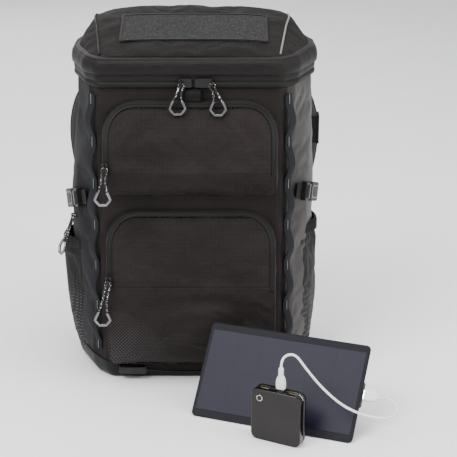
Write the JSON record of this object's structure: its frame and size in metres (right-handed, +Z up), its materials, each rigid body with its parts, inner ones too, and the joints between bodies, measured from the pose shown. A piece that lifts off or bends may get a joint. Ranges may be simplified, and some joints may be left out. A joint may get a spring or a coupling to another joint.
{
  "type": "solar backpack",
  "caption": "Boxy daypack with a domed zip lid, flap pockets, webbing ladders and side buckles, with a leaning solar panel wired to a small power bank.",
  "frame": {"origin": "centre of the bag's base, on the floor", "axes": "+Z up, -Y out of the bag's front, +X to the right of someone who faces its front"},
  "size_m": [0.4576, 0.4373, 0.4899],
  "materials": {
    "boot_fabric": "coated tarpaulin, satin",
    "shell_fabric": "ripstop weave",
    "flank_fabric": "satin weave",
    "lid_fabric": "ripstop weave",
    "loop_field": "brushed loop pile",
    "lining_fabric": "padded lining",
    "mesh_pad": "air mesh over foam",
    "webbing": "woven webbing",
    "pull_cord": "braided cord with light flecks",
    "zip_rubber": "matt water-resistant coating",
    "buckle_plastic": "moulded acetal",
    "stiffener_plastic": "polyethylene sheet",
    "slider_metal": "black enamel on zinc",
    "pull_steel": "bent tube, satin",
    "panel_board": "laminate with fabric border",
    "solar_cell": "film over cells",
    "bank_plastic": "satin face, glossy sides",
    "cell_pouch": "pouch",
    "circuit_board": "solder mask",
    "bank_button": "ring",
    "cable_white": "soft white jacket",
    "plug_steel": "plated"
  },
  "bodies": {
    "pack": {"base_boot": "boot_fabric", "frame_stiffeners": "stiffener_plastic", "front_panel": "shell_fabric", "side_panel_left": "shell_fabric", "side_panel_right": "flank_fabric", "back_panel": "shell_fabric", "back_pads": "mesh_pad", "laptop_sleeve": "lining_fabric", "rim_zip_tape": "zip_rubber", "upper_pocket_gusset": "shell_fabric", "lower_pocket_gusset": "shell_fabric", "pocket_zips": "zip_rubber", "side_pocket_left": "shell_fabric", "side_pocket_right": "flank_fabric", "daisy_chains": "webbing", "compression_straps": "webbing", "buckle_sockets": "buckle_plastic", "gear_loops": "webbing", "usb_port_housing": "buckle_plastic", "shoulder_strap_left": "mesh_pad", "shoulder_strap_right": "mesh_pad", "harness_webbing": "webbing", "strap_hardware": "buckle_plastic"},
    "lid": {"lid_shell": "lid_fabric", "lid_collar": "shell_fabric", "lid_zip_tape": "zip_rubber", "lid_loop_field": "loop_field"},
    "upper_flap": {"upper_pocket_cover": "shell_fabric"},
    "lower_flap": {"lower_pocket_cover": "shell_fabric"},
    "port_flap": {"usb_port_flap": "zip_rubber"},
    "handle": {"haul_handle": "webbing"},
    "left_plug": {"buckle_plug_left": "buckle_plastic"},
    "right_plug": {"buckle_plug_right": "buckle_plastic"},
    "sternum_plug": {"sternum_buckle_plug": "buckle_plastic"},
    "power_bank": {"bank_case_front": "bank_plastic", "bank_case_rear": "bank_plastic", "bank_cells": "cell_pouch", "bank_circuit_board": "circuit_board"},
    "bank_push_button": {"bank_button": "bank_button"},
    "cable": {"cable_cord": "cable_white", "plug_overmolds": "cable_white", "plug_shells": "plug_steel"},
    "solar_panel": {"solar_board": "panel_board", "solar_cells": "solar_cell", "solar_junction_box": "buckle_plastic"},
    "zip_slider_main_left": {"slider_main_left": "slider_metal"},
    "zip_pull_main_left": {"pull_cord_main_left": "pull_cord", "pull_tube_main_left": "pull_steel"},
    "zip_slider_main_right": {"slider_main_right": "slider_metal"},
    "zip_pull_main_right": {"pull_cord_main_right": "pull_cord", "pull_tube_main_right": "pull_steel"},
    "zip_slider_upper_pocket": {"slider_upper_pocket": "slider_metal"},
    "zip_pull_upper_pocket": {"pull_cord_upper_pocket": "pull_cord", "pull_tube_upper_pocket": "pull_steel"},
    "zip_slider_lower_pocket": {"slider_lower_pocket": "slider_metal"},
    "zip_pull_lower_pocket": {"pull_cord_lower_pocket": "pull_cord", "pull_tube_lower_pocket": "pull_steel"},
    "zip_slider_side_pocket": {"slider_side_pocket": "slider_metal"},
    "zip_pull_side_pocket": {"pull_cord_side_pocket": "pull_cord", "pull_tube_side_pocket": "pull_steel"}
  },
  "joints": [
    {"name": "lid_opening", "type": "hinge", "parent": "pack", "child": "lid", "pos_m": [0, 0.095, 0.424], "axis": [-1, 0, 0], "range_deg": [0, 90]},
    {"name": "upper_pocket_opening", "type": "hinge", "parent": "pack", "child": "upper_flap", "pos_m": [0, -0.13, 0.3055], "axis": [1, 0, 0], "range_deg": [0, 60]},
    {"name": "lower_pocket_opening", "type": "hinge", "parent": "pack", "child": "lower_flap", "pos_m": [0, -0.13, 0.1485], "axis": [1, 0, 0], "range_deg": [0, 65]},
    {"name": "port_flap_lifting", "type": "hinge", "parent": "pack", "child": "port_flap", "pos_m": [0.1774, 0.056, 0.34], "axis": [0, -1, 0], "range_deg": [0, 100]},
    {"name": "handle_swing", "type": "hinge", "parent": "pack", "child": "handle", "pos_m": [0, 0.1015, 0.404], "axis": [1, 0, 0], "range_deg": [0, 90]},
    {"name": "left_buckle_release", "type": "slide", "parent": "pack", "child": "left_plug", "axis": [0.3818, -0.8768, 0.2924], "range_m": [0, 0.02]},
    {"name": "right_buckle_release", "type": "slide", "parent": "pack", "child": "right_plug", "axis": [-0.3818, -0.8768, 0.2924], "range_m": [0, 0.02]},
    {"name": "sternum_buckle_release", "type": "slide", "parent": "pack", "child": "sternum_plug", "axis": [1, 0, 0], "range_m": [0, 0.02]},
    {"name": "main_left_zip_run", "type": "slide", "parent": "pack", "child": "zip_slider_main_left", "axis": [-1, 0, 0], "range_m": [0, 0.07]},
    {"name": "main_left_pull_swing", "type": "hinge", "parent": "zip_slider_main_left", "child": "zip_pull_main_left", "pos_m": [-0.011, -0.1059, 0.421], "axis": [-1, 0, 0], "range_deg": [0, 70]},
    {"name": "main_right_zip_run", "type": "slide", "parent": "pack", "child": "zip_slider_main_right", "axis": [1, 0, 0], "range_m": [0, 0.07]},
    {"name": "main_right_pull_swing", "type": "hinge", "parent": "zip_slider_main_right", "child": "zip_pull_main_right", "pos_m": [0.029, -0.1059, 0.421], "axis": [-1, 0, 0], "range_deg": [0, 70]},
    {"name": "upper_pocket_zip_run", "type": "slide", "parent": "pack", "child": "zip_slider_upper_pocket", "axis": [0, 0, 1], "range_m": [0, 0.008]},
    {"name": "upper_pocket_pull_swing", "type": "hinge", "parent": "zip_slider_upper_pocket", "child": "zip_pull_upper_pocket", "pos_m": [-0.1105, -0.1362, 0.316], "axis": [-1, 0, 0], "range_deg": [0, 70]},
    {"name": "lower_pocket_zip_run", "type": "slide", "parent": "pack", "child": "zip_slider_lower_pocket", "axis": [0, 0, 1], "range_m": [0, 0.03]},
    {"name": "lower_pocket_pull_swing", "type": "hinge", "parent": "zip_slider_lower_pocket", "child": "zip_pull_lower_pocket", "pos_m": [-0.11, -0.1365, 0.159], "axis": [-1, 0, 0], "range_deg": [0, 70]},
    {"name": "side_pocket_zip_run", "type": "slide", "parent": "pack", "child": "zip_slider_side_pocket", "axis": [0.3993, -0.9168, 0], "range_m": [0, 0.022]},
    {"name": "side_pocket_pull_swing", "type": "hinge", "parent": "zip_slider_side_pocket", "child": "zip_pull_side_pocket", "pos_m": [-0.16376, -0.03288, 0.2175], "axis": [-0.3993, 0.9168, 0], "range_deg": [0, 70]},
    {"name": "bank_placing", "type": "slide", "parent": "pack", "child": "power_bank", "axis": [0, -1, 0], "range_m": [0, 0.06]},
    {"name": "bank_button_press", "type": "slide", "parent": "power_bank", "child": "bank_push_button", "axis": [0.4741, 0.8805, 0], "range_m": [0, 0.0007], "stiffness_N_per_m": 800},
    {"name": "cable_unplugging", "type": "slide", "parent": "power_bank", "child": "cable", "axis": [0, 0, 1], "range_m": [0, 0.012]},
    {"name": "panel_unplugging", "type": "slide", "parent": "cable", "child": "solar_panel", "axis": [-0.9302, 0.367, 0], "range_m": [0, 0.014]}
  ]
}
